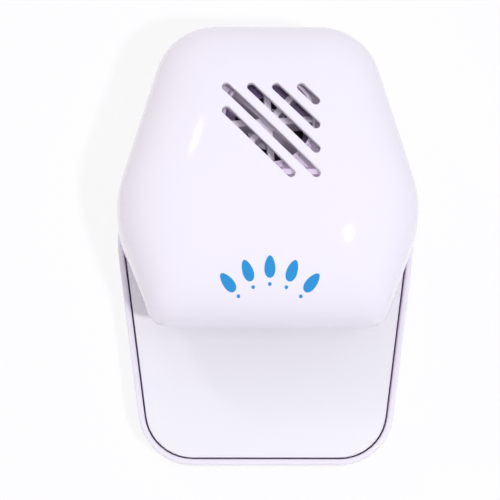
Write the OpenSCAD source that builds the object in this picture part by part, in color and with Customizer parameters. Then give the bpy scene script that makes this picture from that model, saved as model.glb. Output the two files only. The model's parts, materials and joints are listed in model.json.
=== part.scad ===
// Battery nail dryer: a hood with a fan blows air over a finger plate. Pressing the plate starts the fan.
// Millimetres. X is across, +Y is to the back, Z is up. z = 0 is the table, x = y = 0 the footprint's centre.

/* [Case] */
// Whole length, front of the tray to the back of the hood
case_l = 126; // [124:1:132]
// Width over the widest place, measured to the unrounded corners
case_w = 90; // [90:0.2:94]
// Height of the hood's crown over the table
hood_z = 60; // [59:0.5:64]
// Height of the tray's rim, where the hood sits on the base
rim_z = 16; // [15.8:0.1:16.5]
// Wall of the hood
hood_wall = 2.2; // [2:0.1:2.4]
// Wall of the tray at its rim
tray_wall = 1.7; // [1.5:0.1:1.8]
// Floor of the base
floor_t = 2; // [1.8:0.1:2.2]
// Height of the rubber feet under the floor
foot_h = 1.5; // [1.5:0.1:2]

/* [Mouth] */
// From the tray's front to the hood's lip
lip_from_front = 36.5; // [35:0.5:40]
// Height of the lip's lower edge
mouth_z = 39; // [37:0.5:41]
// Length over which the hood's edge climbs from the rim to the lip
mouth_l = 32; // [29:1:33]

/* [Vent] */
// Width of a slanted slot
slot_w = 2.3; // [2:0.1:2.6]
// Distance between slot centre lines, square to the slots
slot_pitch = 4.95; // [4.8:0.05:5.1]
// Side of the square that bounds the slots
vent_side = 25; // [23:0.5:26]

/* [Fan] */
// From the back of the hood to the fan's axis
fan_from_back = 31.6; // [31:0.2:32]
// Radius over the blades
fan_r = 16; // [15:0.5:16.5]
// Number of blades
blades = 8; // [6:1:9]
// Thickness of a blade
blade_t = 1.8; // [1.4:0.1:2]
// Height of a blade
blade_h = 8.8; // [8:0.2:9]
// Radius of the fan's hub
hub_r = 3.4; // [3:0.1:4]
// Radius of the air inlet over the fan
inlet_r = 12.4; // [11:0.2:13]
// Turn of the fan at rest, in degrees
fan_turn = 3.5; // [0:0.5:45]
// Radius of the motor's can
motor_r = 10.2; // [9.6:0.1:10.2]
// Length of the motor, end cap included
motor_l = 14; // [13.5:0.1:14]

/* [Power] */
// Diameter of a size AA cell
cell_d = 14.5; // [14.2:0.1:14.5]
// Length of a size AA cell
cell_l = 50.5; // [50:0.1:50.5]

/* [Plate] */
// Gap between the plate and the rim
plate_gap = 0.45; // [0.4:0.05:0.6]
// How far the plate's top lies under the rim
plate_drop = 0.8; // [0.6:0.1:1]
// Thickness of the plate
plate_t = 1.8; // [1.6:0.1:2]
// Turns of a plate spring
plate_spring_turns = 5; // [4:1:6]

/* [Fits] */
// Running clearance of pins and of the shaft, on the radius
run_fit = 0.05; // [0.03:0.01:0.08]
// Clearance of screws and set parts, on the radius
set_fit = 0.05; // [0.03:0.01:0.1]

/* [Hidden] */

$fn = 48;
eps = 0.01;
white = [0.95, 0.94, 0.98];
dark = [0.14, 0.12, 0.18];
steel = [0.72, 0.73, 0.75];

y_front = -case_l / 2;
y_back = case_l / 2;
lip_y = y_front + lip_from_front;
fan_y = y_back - fan_from_back;
mouth_y = lip_y + mouth_l;        // where the hood's edge starts to climb
hood_cy = y_back - 45.9;          // the point all rings of the hood shrink toward
wide_y = y_back - 55.7;           // widest place of the hood
crown_y = y_back - 52;            // highest place of the hood
far = 60;                         // reach of a cut that goes right through
base_z = foot_h;
floor_z = base_z + floor_t;

// Plan corners, counter-clockwise from the front right, with their radii
lip_x = 32.6;
back_x = 28.8;
front_x = 35.4;
side_x0 = case_w / 2 + 0.3;       // the hood's corner at the widest place
side_slope = (side_x0 - back_x) / (y_back - wide_y);
// The base's own corner lies on the hood's rear flank, so the two run flush behind it
base_wide_y = wide_y + 0.6;
base_wide_x = side_x0 - side_slope * 0.6;
hood_v = [[lip_x, lip_y], [side_x0, wide_y], [back_x, y_back], [-back_x, y_back], [-side_x0, wide_y],
          [-lip_x, lip_y]];
hood_r = [7, 30, 18, 18, 30, 7];
base_v = [[front_x, y_front], [base_wide_x, base_wide_y], [back_x, y_back], [-back_x, y_back],
          [-base_wide_x, base_wide_y], [-front_x, y_front]];
base_r = [16, 50, 18, 18, 50, 16];

// Battery bay: two cells side by side along X, put in from below
cell_r = cell_d / 2;
cell_play = 0.45;
bay_wall = 1.5;
bay_x = cell_l / 2 + 3.75;
bay_y1 = y_back - 14.9;
bay_y0 = bay_y1 - 2 * cell_d - 3 * cell_play - 0.25;
cell_ya = bay_y0 + cell_play + cell_r;
cell_yb = bay_y1 - cell_play - cell_r;
cell_z = floor_z + 0.55 + cell_r;
bay_z = cell_z + cell_r + 0.75;
bay_top = bay_z + bay_wall;
plus_x = bay_x - 0.6;             // face that a cell's plus end touches
minus_x = plus_x - cell_l;        // a cell's minus end, seen from its own plus side

// Motor and fan, from the bay's lid up
strap_z = bay_top + 1.6;          // underside of the clamp strap
strap_t = 1.1;
motor_z = strap_z + strap_t;
can_top = motor_z + motor_l;
duct_floor = can_top - 3;         // underside of the fan housing's floor
duct_t = 1.5;
blade_z = can_top + 2.8;
cover_z = blade_z + blade_h + 1;
cover_t = 1.2;
collar_h = 1.3;
shaft_r = 1;
scroll_r = fan_r + 2;
scroll_t = 1.3;
panel_t = 1.5;
panel_y = bay_y0 - bay_wall - panel_t;
lug_y = panel_y + panel_t + 3;    // front lugs, just behind the air panel
lug_pos = [[21.6, fan_y + 5.2], [21.6, lug_y], [-21.6, lug_y], [-21.6, fan_y + 5.2]];
clamp_x = 13.6;

// Plate, its hinge and the switch
plate_z = rim_z - plate_drop;
plate_inset = tray_wall + plate_gap;
hinge_y = bay_y0 - bay_wall - 6.6;
hinge_z = 11;
hinge_r = 1.5;
plate_end = panel_y - 0.9;
switch_y = hinge_y - 21.5;
switch_h = 5;
switch_x = 4;                     // half the width of the switch
plunger_r = 1.7;
pusher_z = floor_z + switch_h + 3; // underside of the plate's pusher
spring_pos = [[24, y_front + 25], [-24, y_front + 25]];
stop_y = y_front + 12;

// Screws: radii of the shanks and of the bosses that take them
case_screw_r = 1.15;
clamp_screw_r = 0.8;
cover_screw_r = 0.95;
boss_r = 3.3;
post_r = boss_r + 0.1;
lug_r = 2.9;
case_pos = [[36.3, y_back - 42.5], [10, y_back - 7], [-10, y_back - 7], [-36.3, y_back - 42.5]];
boss_z = rim_z - 0.1;
foot_r = 3.6;
foot_set = 0.7;                   // how deep a foot sits in the floor
foot_pos = [[26, y_front + 13], [19.5, y_back - 9.6], [-19.5, y_back - 9.6], [-26, y_front + 13]];

// ---------- curves and skins ----------
function unit(v) = v / norm(v);
function mix(a, b, t) = a * (1 - t) + b * t;
// One rounded corner of a plan, pulled in by d: the arc keeps its centre and loses d of radius
function corner(a, v, b, r, d, n) = let(
  d1 = unit(v - a), d2 = unit(b - v),
  a1 = atan2(-d1.x, d1.y), a2 = atan2(-d2.x, d2.y),
  turn = a2 < a1 ? a2 + 360 - a1 : a2 - a1,
  c = v - r / cos(turn / 2) * [cos(a1 + turn / 2), sin(a1 + turn / 2)])
  [for (k = [0:n]) c + (r - d) * [cos(a1 + turn * k / n), sin(a1 + turn * k / n)]];
// A whole plan outline, with m spans on each straight side
function outline(v, r, d = 0, n = 10, m = 4) = let(
  k = len(v),
  c = [for (i = [0:k - 1]) corner(v[(i + k - 1) % k], v[i], v[(i + 1) % k], r[i], d, n)])
  [for (i = [0:k - 1]) each concat(c[i],
    [for (j = [1:m - 1]) mix(c[i][n], c[(i + 1) % k][0], j / m)])];
function at_z(ring, z) = [for (p = ring) [p.x, p.y, z]];
function middle(ring) = [for (i = [0:2]) let(s = [for (p = ring) p[i]]) (min(s) + max(s)) / 2];
// A closed skin over a list of rings, with a flat fan at each end
module skin(rings) {
  n = len(rings[0]);
  k = len(rings);
  ends = [middle(rings[0]), middle(rings[k - 1])];
  polyhedron(points = concat([for (r = rings) each r], ends), faces = concat(
    [for (i = [0:n - 1]) [i, (i + 1) % n, n * k]],
    [for (j = [0:k - 2], i = [0:n - 1]) each let(a = j * n + i, b = j * n + (i + 1) % n)
      [[a, a + n, b + n], [a, b + n, b]]],
    [for (i = [0:n - 1]) [(k - 1) * n + (i + 1) % n, (k - 1) * n + i, n * k + 1]]), convexity = 6);
}
// Round rod along a path of points. side is a direction that the path never takes
module rod(path, r, side, n = 8) {
  last = len(path) - 1;
  skin([for (i = [0:last]) let(
    t = unit(path[min(i + 1, last)] - path[max(i - 1, 0)]),
    u = unit(cross(t, side)), w = cross(t, u))
    [for (k = [0:n - 1]) path[i] + r * (cos(360 * k / n) * u + sin(360 * k / n) * w)]]);
}
// Smooth curve through points (Catmull-Rom), k steps between two of them
function through(p, k = 6) = let(n = len(p), q = concat([2 * p[0] - p[1]], p, [2 * p[n - 1] - p[n - 2]]))
  concat([for (i = [1:n - 1], j = [0:k - 1]) let(t = j / k)
    0.5 * (2 * q[i] + (q[i + 1] - q[i - 1]) * t
      + (2 * q[i - 1] - 5 * q[i] + 4 * q[i + 1] - q[i + 2]) * t * t
      + (3 * q[i] - q[i - 1] - 3 * q[i + 1] + q[i + 2]) * t * t * t)], [p[n - 1]]);
// Coil about Z from z = 0 to h: radius r0 to r1, closed flat at both ends
function coil(h, r0, r1, wire, turns, k = 14) = let(n = turns * k, rest = 0.7 * k)
  [for (i = [0:n]) let(
    e = min(1, max(0, (i - rest) / (n - 2 * rest))), r = mix(r0, r1, i / n),
    lift = 0.55 * wire * (min(1, i / rest) - min(1, (n - i) / rest)))
    [r * cos(360 * i / k), r * sin(360 * i / k), mix(1.05 * wire, h - 1.05 * wire, e) + lift]];
module tube(r1, r0, h) difference() {
  cylinder(r = r1, h = h);
  translate([0, 0, -1]) cylinder(r = r0, h = h + 2);
}
module both() { children(); mirror([1, 0, 0]) children(); }
module at(list) { for (p = list) translate([p.x, p.y, 0]) children(); }
// Block between two corners
module block(a, b) { translate(a) cube(b - a); }

// ---------- hood ----------
// Crown height along Y: falls to the lip and, less, to the back
function crown(y) = hood_z - (y < crown_y ? 0.0045 : 0.0016) * (y - crown_y) * (y - crown_y);
// Roundness of the shoulder: tighter at the nose
function power(y) = 4.8 + 2.2 * max(0, min(1, (mouth_y - y) / (mouth_l - 4)));
// One ring: t runs from the edge (0) to near the crown (1), d is the depth under the outer face
function hood_ring(t, d) = [for (p = outline(hood_v, hood_r, d)) let(
  e = 2 / power(p.y), a = 88.6 * t, s = pow(cos(a), e), h = pow(sin(a), e),
  x = p.x * s, y = hood_cy + (p.y - hood_cy) * s)
  [x, y, rim_z + (crown(y) - d - rim_z) * h]];
hood_t = [0, 0.02, 0.1, 0.2, 0.3, 0.39, 0.48, 0.57, 0.66, 0.75, 0.84, 0.92, 0.97, 1];
// How far out a point lies, 0 at the rings' centre and 1 at the edge (corners taken sharp)
function reach(x, y, d = 0) = max([for (i = [0:5]) let(a = hood_v[i], b = hood_v[(i + 1) % 6],
  u = unit(b - a), n = [u.y, -u.x], c = [0, hood_cy]) (n * ([x, y] - c)) / (n * (a - c) - d)]);
// Height of the skin over a point, d under the outer face
function skin_z(x, y, d = 0) = let(q = power(y), s = min(0.999, reach(x, y, d)))
  rim_z + (crown(y) - d - rim_z) * pow(1 - pow(s, q), 1 / q);
// Half width at the edge, behind the widest place, d under the outer face
function side_at(y, d = 0) = back_x + side_slope * (y_back - y) - d * sqrt(1 + side_slope * side_slope);
// Half width inside the hood at depth d, at height z in the cross plane y
function half_in(y, z, d) = let(q = power(y), h = min(0.999, (z - rim_z) / (crown(y) - d - rim_z)))
  side_at(y, d) * pow(1 - pow(h, q), 1 / q);
// Side view of the space under the climbing edge
mouth_side = concat(
  [for (i = [0:14]) let(t = i / 14) [mouth_y - t * mouth_l, rim_z + (mouth_z - rim_z) * sin(90 * t)]],
  [[lip_y - 9, mouth_z], [lip_y - 9, rim_z - 4], [mouth_y, rim_z - 4]]);
vent_c = [0.35, fan_y - 4.8];
function slot_pts(a, b, w) = let(u = unit(b - a), g = atan2(u.y, u.x))
  concat([for (k = [0:8]) b + w / 2 * [cos(g - 90 + 22.5 * k), sin(g - 90 + 22.5 * k)]],
         [for (k = [0:8]) a + w / 2 * [cos(g + 90 + 22.5 * k), sin(g + 90 + 22.5 * k)]]);
// Slot i runs at 45 degrees inside the vent square: 0 is its diagonal, 1 to 3 lie behind it, -1 before it
module slot(i) {
  s = vent_side / 2;
  o = i * slot_pitch * sqrt(2);
  a = o >= 0 ? [o - s, s] : [-s, s + o];
  b = o >= 0 ? [s, o - s] : [s + o, -s];
  translate([vent_c.x, vent_c.y, cover_z + cover_t + collar_h + 0.1])
    linear_extrude(20) polygon(slot_pts(a, b, slot_w));
}
module hood() color(white) difference() {
  union() {
    skin(concat([for (i = [13:-1:0]) hood_ring(hood_t[i], hood_wall)],
      [for (e = [0.35, 0]) at_z(outline(hood_v, hood_r, e), rim_z + 0.35 - e)],
      [for (i = [1:13]) hood_ring(hood_t[i], 0)]));
    // bosses for the case screws, tied to the wall by ribs
    at(case_pos) translate([0, 0, boss_z]) cylinder(r = boss_r, h = 14);
    side = case_pos[0];
    back = case_pos[1];
    both() {
      block([side.x, side.y - 0.8, rim_z + 2.5], [side_at(side.y, hood_wall * 0.7), side.y + 0.8, rim_z + 11]);
      block([back.x - 0.8, back.y, rim_z + 2.5], [back.x + 0.8, y_back - hood_wall * 0.7, rim_z + 13]);
    }
    // bosses under the crown for the fan cover
    for (p = lug_pos) translate([p.x, p.y, cover_z + cover_t])
      cylinder(r = lug_r, h = skin_z(p.x, p.y, hood_wall / 2) - cover_z - cover_t);
  }
  // the mouth
  translate([-far, 0, 0]) rotate([90, 0, 90]) linear_extrude(2 * far) polygon(mouth_side);
  for (i = [-1:3]) slot(i);
  at(case_pos) translate([0, 0, boss_z - 1]) cylinder(r = case_screw_r + set_fit, h = 13);
  at(lug_pos) translate([0, 0, cover_z + cover_t - 1]) cylinder(r = cover_screw_r + set_fit, h = 3.6);
}

// ---------- base ----------
function base_ring(d, z) = at_z(outline(base_v, base_r, d), z);
fillet_h = 5.5;
rim_round = 0.5;
// Steps of a rounded edge: how far in and how far down, as shares of its radius
rounding = [[0, 1], [0.3, 0.3], [1, 0]];
function under(z) = let(q = max(0, (base_z + fillet_h - z) / fillet_h))
  0.3 * (rim_z - z) / (rim_z - base_z) + 4.2 * (1 - sqrt(max(0, 1 - q * q)));
base_out = [for (k = [0, 0.12, 0.3, 0.5, 0.75, 1]) base_z + fillet_h * k];
base_in = [for (k = [1, 0.75, 0.5, 0.3]) floor_z + (fillet_h - floor_t) * (k - 0.3) / 0.7];
door_x = bay_x - 0.3;
pivot_y = bay_y0 + 1.5;
pivot_z = base_z + 1;
module plan(d) { polygon(outline(base_v, base_r, d)); }
// Square block over the switch's place, s to each side
module square_block(s, z0, z1) { block([-s, switch_y - s, z0], [s, switch_y + s, z1]); }
module base_tub() color(white) difference() {
  union() {
    skin(concat([for (z = base_out) base_ring(under(z), z)],
      [for (e = rounding) base_ring(rim_round * e[0], rim_z - rim_round * e[1])],
      [for (i = [2:-1:0]) let(e = rim_round * rounding[i]) base_ring(tray_wall - e[0], rim_z - e[1])],
      [for (z = base_in) base_ring(under(z) + tray_wall, z)]));
    // battery bay, its rear corners kept clear of the hood's wall
    intersection() {
      block([-bay_x - bay_wall, bay_y0 - bay_wall, base_z + 0.5],
        [bay_x + bay_wall, bay_y1 + bay_wall, bay_top]);
      linear_extrude(far) plan(hood_wall + 0.35);
    }
    at(case_pos) translate([0, 0, base_z + 0.5]) cylinder(r = post_r, h = boss_z - base_z - 0.5);
    // tongue that centres the hood
    intersection() {
      translate([0, 0, rim_z - 2.5]) {
        linear_extrude(4.3) difference() { plan(hood_wall + 0.25); plan(hood_wall + 1.2); }
        linear_extrude(2) difference() { plan(tray_wall - 0.3); plan(hood_wall + 1); }
      }
      block([-far, case_pos[0].y + 6, 0], [far, y_back, far]);
    }
    // hinge posts of the plate
    both() block([25, hinge_y - 3, floor_z - 0.5], [28, hinge_y + 3, hinge_z + 1.9]);
    // stops that hold the plate down at its front
    both() {
      block([15, stop_y - 3.5, floor_z - 0.5], [21, stop_y - 1.9, floor_z + 5.6]);
      block([15, stop_y - 3.5, floor_z + 4.4], [21, stop_y - 0.6, floor_z + 5.6]);
    }
    at(spring_pos) translate([0, 0, floor_z - 0.5]) cylinder(r = 2.1, h = 2.3);
    // frame round the switch
    difference() {
      square_block(switch_x + 1.4, floor_z - 0.5, floor_z + 2.4);
      square_block(switch_x + 0.1, floor_z, floor_z + 3);
      block([-switch_x - 2, switch_y - 1.6, floor_z], [switch_x + 2, switch_y + 1.6, floor_z + 3]);
    }
  }
  // battery bay, open at the bottom
  block([-bay_x, bay_y0, base_z - 1], [bay_x, bay_y1, bay_z]);
  // slits in the bay's lid for the solder tabs
  block([-bay_x, cell_ya - 1.6, bay_z - 1], [-bay_x + 0.6, cell_ya + 1.6, bay_top + 1]);
  block([-bay_x, cell_yb - 1.6, bay_z - 1], [-bay_x + 0.6, cell_yb + 1.6, bay_top + 1]);
  at(case_pos) {
    cylinder(r = 1.5, h = rim_z + 2);
    cylinder(r = 2.7, h = base_z + 4);
  }
  at(foot_pos) cylinder(r = foot_r + 0.25 + set_fit, h = base_z + foot_set);
  both() translate([24, hinge_y, hinge_z]) rotate([0, 90, 0]) cylinder(r = hinge_r + run_fit, h = 5);
}
// ears that carry the door's pins belong to the base
module door_ears() both() difference() {
  block([23.4, bay_y0 - 0.6, base_z + 0.15], [26, pivot_y + 1.15, floor_z]);
  translate([23, pivot_y, pivot_z]) rotate([0, 90, 0]) cylinder(r = 0.6 + run_fit, h = 4);
}

module battery_door() color(white) {
  difference() {
    union() {
      block([-door_x, pivot_y, base_z], [door_x, bay_y1 - 0.3, base_z + 1.8]);
      both() block([-1, bay_y0 + 0.5, base_z], [23, pivot_y + 1, base_z + 1.8]);
      both() translate([14, pivot_y, pivot_z]) rotate([0, 90, 0]) cylinder(r = 1, h = 9);
      both() translate([22, pivot_y, pivot_z]) rotate([0, 90, 0]) cylinder(r = 0.6, h = 3.6);
    }
    // room for the ears
    both() difference() {
      block([23.1, pivot_y - 2, base_z - 1], [26.3, pivot_y + 1.6, base_z + 3]);
      translate([22, pivot_y, pivot_z]) rotate([0, 90, 0]) cylinder(r = 0.6, h = 3.6);
    }
    // thumb grooves
    for (i = [0:3]) block([-9, bay_y1 - 4.4 - 1.9 * i, base_z - 1], [9, bay_y1 - 3.5 - 1.9 * i, base_z + 0.5]);
  }
}

module rubber_feet() color([0.09, 0.09, 0.1]) at(foot_pos) rotate_extrude()
  polygon([[0, 0], [foot_r - 0.4, 0], [foot_r, 0.4], [foot_r, base_z + 0.1], [foot_r + 0.25, base_z + 0.1],
    [foot_r + 0.25, base_z + foot_set], [0, base_z + foot_set]]);

// ---------- plate ----------
// The tray's outline pulled in by d and cut off straight at the back
function plate_ring(d, z) = [for (p = outline(base_v, base_r, d)) [p.x, min(p.y, plate_end), z]];
plate_round = 0.4;
skirt_end = hinge_y - 4;
module plate_plan(d) intersection() {
  plan(d);
  translate([-far, y_front]) square([2 * far, plate_end - y_front]);
}
module press_plate() color(white) union() {
  skin(concat([plate_ring(plate_inset, plate_z - plate_t)],
    [for (e = rounding) plate_ring(plate_inset + plate_round * e[0], plate_z - plate_round * e[1])]));
  // skirt
  translate([0, 0, plate_z - plate_t - 2.2]) linear_extrude(2.2 + eps) difference() {
    plate_plan(plate_inset + 0.3);
    intersection() {
      plan(plate_inset + 1.7);
      translate([-far, y_front]) square([2 * far, skirt_end - y_front]);
    }
    translate([-far, skirt_end]) square([2 * far, far]);
  }
  // ribs
  both() block([11.4, stop_y + 6, plate_z - plate_t - 1.6], [12.6, hinge_y - 5, plate_z - plate_t + eps]);
  block([-30, switch_y + 5.4, plate_z - plate_t - 1.6], [30, switch_y + 6.6, plate_z - plate_t + eps]);
  // hinge ears with their pins
  both() {
    block([21.6, hinge_y - 2.6, hinge_z - 2.2], [24.6, hinge_y + 2.6, plate_z - plate_t + eps]);
    translate([23, hinge_y, hinge_z]) rotate([0, 90, 0]) cylinder(r = hinge_r, h = 4.8);
  }
  // hooks under the stops
  both() {
    block([16, stop_y, floor_z + 3.1], [20, stop_y + 1.2, plate_z - plate_t + eps]);
    block([16, stop_y - 1.6, floor_z + 3.1], [20, stop_y + eps, floor_z + 4.3]);
  }
  // pusher over the switch, spring seats
  translate([0, switch_y, pusher_z]) cylinder(r = plunger_r + 0.5, h = plate_z - plate_t - pusher_z + eps);
  at(spring_pos) translate([0, 0, plate_z - plate_t - 1.2]) cylinder(r = 2, h = 1.2 + eps);
}
spring_h = plate_z - plate_t - floor_z;
module plate_springs() color(steel) at(spring_pos) translate([0, 0, floor_z + 0.02])
  rod(coil(spring_h - 0.04, 2.75, 2.75, 0.6, plate_spring_turns), 0.3, [0, 0, 1], 6);

// ---------- switch ----------
module switch_body() color(dark) difference() {
  square_block(switch_x, floor_z, floor_z + switch_h);
  translate([0, switch_y, floor_z + 1.2]) cylinder(r = plunger_r + run_fit, h = switch_h);
}
plunger_z = floor_z + 2.6;
plunger_h = pusher_z - plunger_z - 0.15;
module switch_plunger() color([0.75, 0.1, 0.1]) translate([0, switch_y, plunger_z]) {
  cylinder(r = plunger_r, h = plunger_h - 0.5);
  translate([0, 0, plunger_h - 0.5 - eps]) cylinder(r1 = plunger_r, r2 = plunger_r - 0.5, h = 0.5);
}
tab_x = switch_x + 2.6;
module switch_terminals() color([0.82, 0.72, 0.4]) both()
  block([switch_x, switch_y - 0.6, floor_z + 1], [tab_x, switch_y + 0.6, floor_z + 1.4]);

// ---------- air path ----------
module duct_plan(r, w, y0) difference() {
  union() { translate([0, fan_y]) circle(r = r); translate([-w, y0]) square([2 * w, fan_y - y0]); }
  translate([-far, y0 - far]) square([2 * far, far]);
}
module fan_housing() color(white) difference() {
  union() {
    difference() {
      translate([0, 0, duct_floor]) linear_extrude(cover_z - duct_floor)
        duct_plan(scroll_r + scroll_t, scroll_r + scroll_t, panel_rear);
      translate([0, 0, duct_floor + duct_t]) linear_extrude(40) duct_plan(scroll_r, scroll_r, -20);
    }
    // collar round the motor, lugs for the strap and for the cover
    translate([0, fan_y, motor_z + 3]) cylinder(r = motor_r + 1.5, h = duct_floor - motor_z - 3 + eps);
    both() translate([clamp_x, fan_y, motor_z]) cylinder(r = 2.2, h = duct_floor - motor_z + eps);
    at(lug_pos) translate([0, 0, cover_z - 5]) cylinder(r = 2.6, h = 5);
    both() for (y = [lug_pos[0].y, lug_pos[1].y])
      block([17.9, y - 1.2, cover_z - 5], [21, y + 1.2, cover_z]);
    // tongue of the scroll
    block([13.6, fan_y - 15, duct_floor + 1], [scroll_r + 0.6, fan_y - 13.6, cover_z]);
  }
  translate([0, fan_y, motor_z]) cylinder(r = motor_r + set_fit, h = 40);
  at(lug_pos) translate([0, 0, cover_z - 6]) cylinder(r = cover_screw_r + 0.3, h = 8);
  both() translate([clamp_x, fan_y, motor_z - 1]) cylinder(r = clamp_screw_r + set_fit, h = 8);
  translate([0, fan_y, duct_floor + duct_t]) cylinder(r = scroll_r, h = 40);
}
module fan_cover() color(white) translate([0, 0, cover_z]) difference() {
  union() {
    linear_extrude(cover_t) duct_plan(scroll_r + scroll_t, scroll_r + scroll_t, panel_rear);
    at(lug_pos) cylinder(r = 2.8, h = cover_t);
    both() for (y = [lug_pos[0].y, lug_pos[1].y]) block([17.9, y - 1.6, 0], [21, y + 1.6, cover_t]);
    translate([0, fan_y, 0]) cylinder(r = inlet_r + 1.1, h = cover_t + collar_h);
  }
  translate([0, fan_y, -1]) cylinder(r = inlet_r, h = 8);
  at(lug_pos) translate([0, 0, -1]) cylinder(r = cover_screw_r + 0.3, h = 4);
}
// Wall that closes the machine room to the mouth; it follows the hood's inside with a small gap
panel_z0 = rim_z + 1;
panel_gap = 0.6;
panel_rear = panel_y + panel_t;
panel_z1 = crown(panel_y) - hood_wall;
panel_zs = [for (k = [0, 0.25, 0.5, 0.65, 0.78, 0.87, 0.93, 0.97]) mix(panel_z0, panel_z1, k)];
grille_z0 = duct_floor + duct_t;
module air_panel() color(white) translate([0, panel_rear, 0]) rotate([90, 0, 0]) linear_extrude(panel_t)
  difference() {
    polygon([for (s = [1, -1], i = [0:7]) let(z = panel_zs[s > 0 ? i : 7 - i])
      [s * half_in(panel_rear, z, hood_wall + panel_gap), z]]);
    translate([-scroll_r, grille_z0]) square([2 * scroll_r, cover_z - grille_z0]);
  }
module outlet_grille() color(white) {
  difference() {
    block([-scroll_r - 1.5, panel_y - 1.2, grille_z0 - 1.5], [scroll_r + 1.5, panel_y, cover_z + 1.5]);
    block([-scroll_r + 1, panel_y - 2, grille_z0 + 1], [scroll_r - 1, panel_y + 1, cover_z - 1]);
  }
  for (i = [1:4]) translate([0, panel_y - 0.6, grille_z0 + i * (cover_z - grille_z0) / 5]) rotate([35, 0, 0])
    cube([2 * scroll_r - 1.9, 2.4, 0.9], center = true);
  for (x = [-6.2, 6.2]) block([x - 0.5, panel_y - 1.2, grille_z0], [x + 0.5, panel_y, cover_z]);
}

// ---------- fan and motor ----------
module impeller() color(white) translate([0, fan_y, blade_z]) difference() {
  union() {
    cylinder(r = hub_r, h = blade_h);
    cylinder(r = 6, h = 1);
    for (i = [0:blades - 1]) rotate([0, 0, fan_turn + i * 360 / blades])
      block([hub_r - 1, -blade_t / 2, 0], [fan_r, blade_t / 2, blade_h]);
  }
  translate([0, 0, -1]) cylinder(r = shaft_r, h = blade_h - 0.5);
}
shaft_top = blade_z + blade_h - 1.5;
module motor_shaft() color(steel) translate([0, fan_y, motor_z + 0.6])
  cylinder(r = shaft_r, h = shaft_top - motor_z - 0.6);
module motor_can() color([0.07, 0.06, 0.09]) translate([0, fan_y, 0]) difference() {
  translate([0, 0, motor_z + 1.6]) cylinder(r = motor_r, h = motor_l - 1.6);
  translate([0, 0, motor_z]) cylinder(r = motor_r - 0.8, h = motor_l - 0.8);
  translate([0, 0, can_top - 2]) cylinder(r = 3, h = 4);
}
module motor_bushes() color([0.7, 0.55, 0.3]) translate([0, fan_y, 0]) {
  translate([0, 0, can_top - 0.8]) tube(3, shaft_r + run_fit, 2.2);
  translate([0, 0, motor_z + 1]) tube(2.4, shaft_r + run_fit, 1.2);
}
module motor_end_cap() color(dark) translate([0, fan_y, motor_z]) difference() {
  union() {
    cylinder(r = motor_r, h = 1.6);
    cylinder(r = motor_r - 0.85, h = 2.2);
  }
  translate([0, 0, 1]) cylinder(r = 2.4, h = 3);
  translate([0, 0, 0.5]) cylinder(r = shaft_r + 0.3, h = 3);
  for (s = [-1, 1]) block([-1.25, s * 7 - 0.25, -1], [1.25, s * 7 + 0.25, 4]);
}
module motor_terminals() color([0.82, 0.72, 0.4]) translate([0, fan_y, motor_z])
  for (s = [-1, 1]) block([-1.2, s * 7 - 0.2, -1.3], [1.2, s * 7 + 0.2, 2.6]);
magnet_h = motor_l - 4.6;
module motor_magnets() color([0.2, 0.2, 0.22]) translate([0, fan_y, motor_z + 3]) difference() {
  tube(motor_r - 0.8, motor_r - 2.3, magnet_h);
  block([-12, -2.2, -1], [12, 2.2, 20]);
}
module motor_armature() color([0.65, 0.35, 0.2]) translate([0, fan_y, motor_z]) difference() {
  union() {
    translate([0, 0, 2.6]) cylinder(r = 3.1, h = motor_l - 5);
    for (i = [0:2]) rotate([0, 0, 120 * i]) {
      block([2, -1.3, 4.2], [motor_r - 3.8, 1.3, motor_l - 3]);
      block([motor_r - 4.3, -3.2, 4.2], [motor_r - 3.3, 3.2, motor_l - 3]);
      block([3.6, -2.3, 3.9], [motor_r - 4.9, 2.3, motor_l - 2.7]);
    }
  }
  cylinder(r = shaft_r, h = 30);
}
module motor_clamp() color(steel) difference() {
  block([-clamp_x - 2.8, fan_y - 3.6, strap_z], [clamp_x + 2.8, fan_y + 3.6, motor_z]);
  for (s = [-1, 1]) translate([s * clamp_x, fan_y, strap_z - 1]) cylinder(r = clamp_screw_r + 0.2, h = 5);
}

// ---------- power ----------
// A cell along -X, its minus end at the origin, with the plus end's nipple
nipple_h = 1.2;
module cell() rotate([0, -90, 0]) {
  cylinder(r = cell_r, h = cell_l - nipple_h);
  translate([0, 0, cell_l - nipple_h - eps]) cylinder(r = 2.7, h = nipple_h + eps);
}
module battery_a() color([0.16, 0.17, 0.2]) translate([minus_x, cell_ya, cell_z]) mirror([1, 0, 0]) cell();
module battery_b() color([0.16, 0.17, 0.2]) translate([-minus_x, cell_yb, cell_z]) cell();
contact_t = 0.4;
spring_l = minus_x + bay_x - contact_t;
module battery_springs() color(steel) {
  translate([-bay_x + contact_t + 0.02, cell_ya, cell_z]) rotate([0, 90, 0])
    rod(coil(spring_l - 0.04, 4.6, 2.6, 0.7, 4), 0.35, [0, 0, 1], 6);
  translate([bay_x - contact_t - 0.02, cell_yb, cell_z]) rotate([0, -90, 0])
    rod(coil(spring_l - 0.04, 4.6, 2.6, 0.7, 4), 0.35, [0, 0, 1], 6);
}
// two plates with solder tabs on the left, one long bridge on the right
module battery_contacts() color([0.8, 0.78, 0.74]) {
  for (y = [cell_ya, cell_yb]) {
    block([-bay_x, y - 5.4, cell_z - 5.4], [-bay_x + contact_t, y + 5.4, cell_z + 5.4]);
    block([-bay_x, y - 1.4, cell_z + 5], [-bay_x + contact_t, y + 1.4, bay_top + 1.4]);
  }
  block([bay_x - contact_t, cell_ya - 5.4, cell_z - 5.4], [bay_x, cell_yb + 5.4, cell_z + 5.4]);
  // raised pips that meet the plus ends
  translate([plus_x, cell_ya, cell_z]) rotate([0, 90, 0]) cylinder(r = 1.6, h = 0.3);
  translate([-plus_x, cell_yb, cell_z]) rotate([0, -90, 0]) cylinder(r = 1.6, h = 0.3);
}

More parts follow.
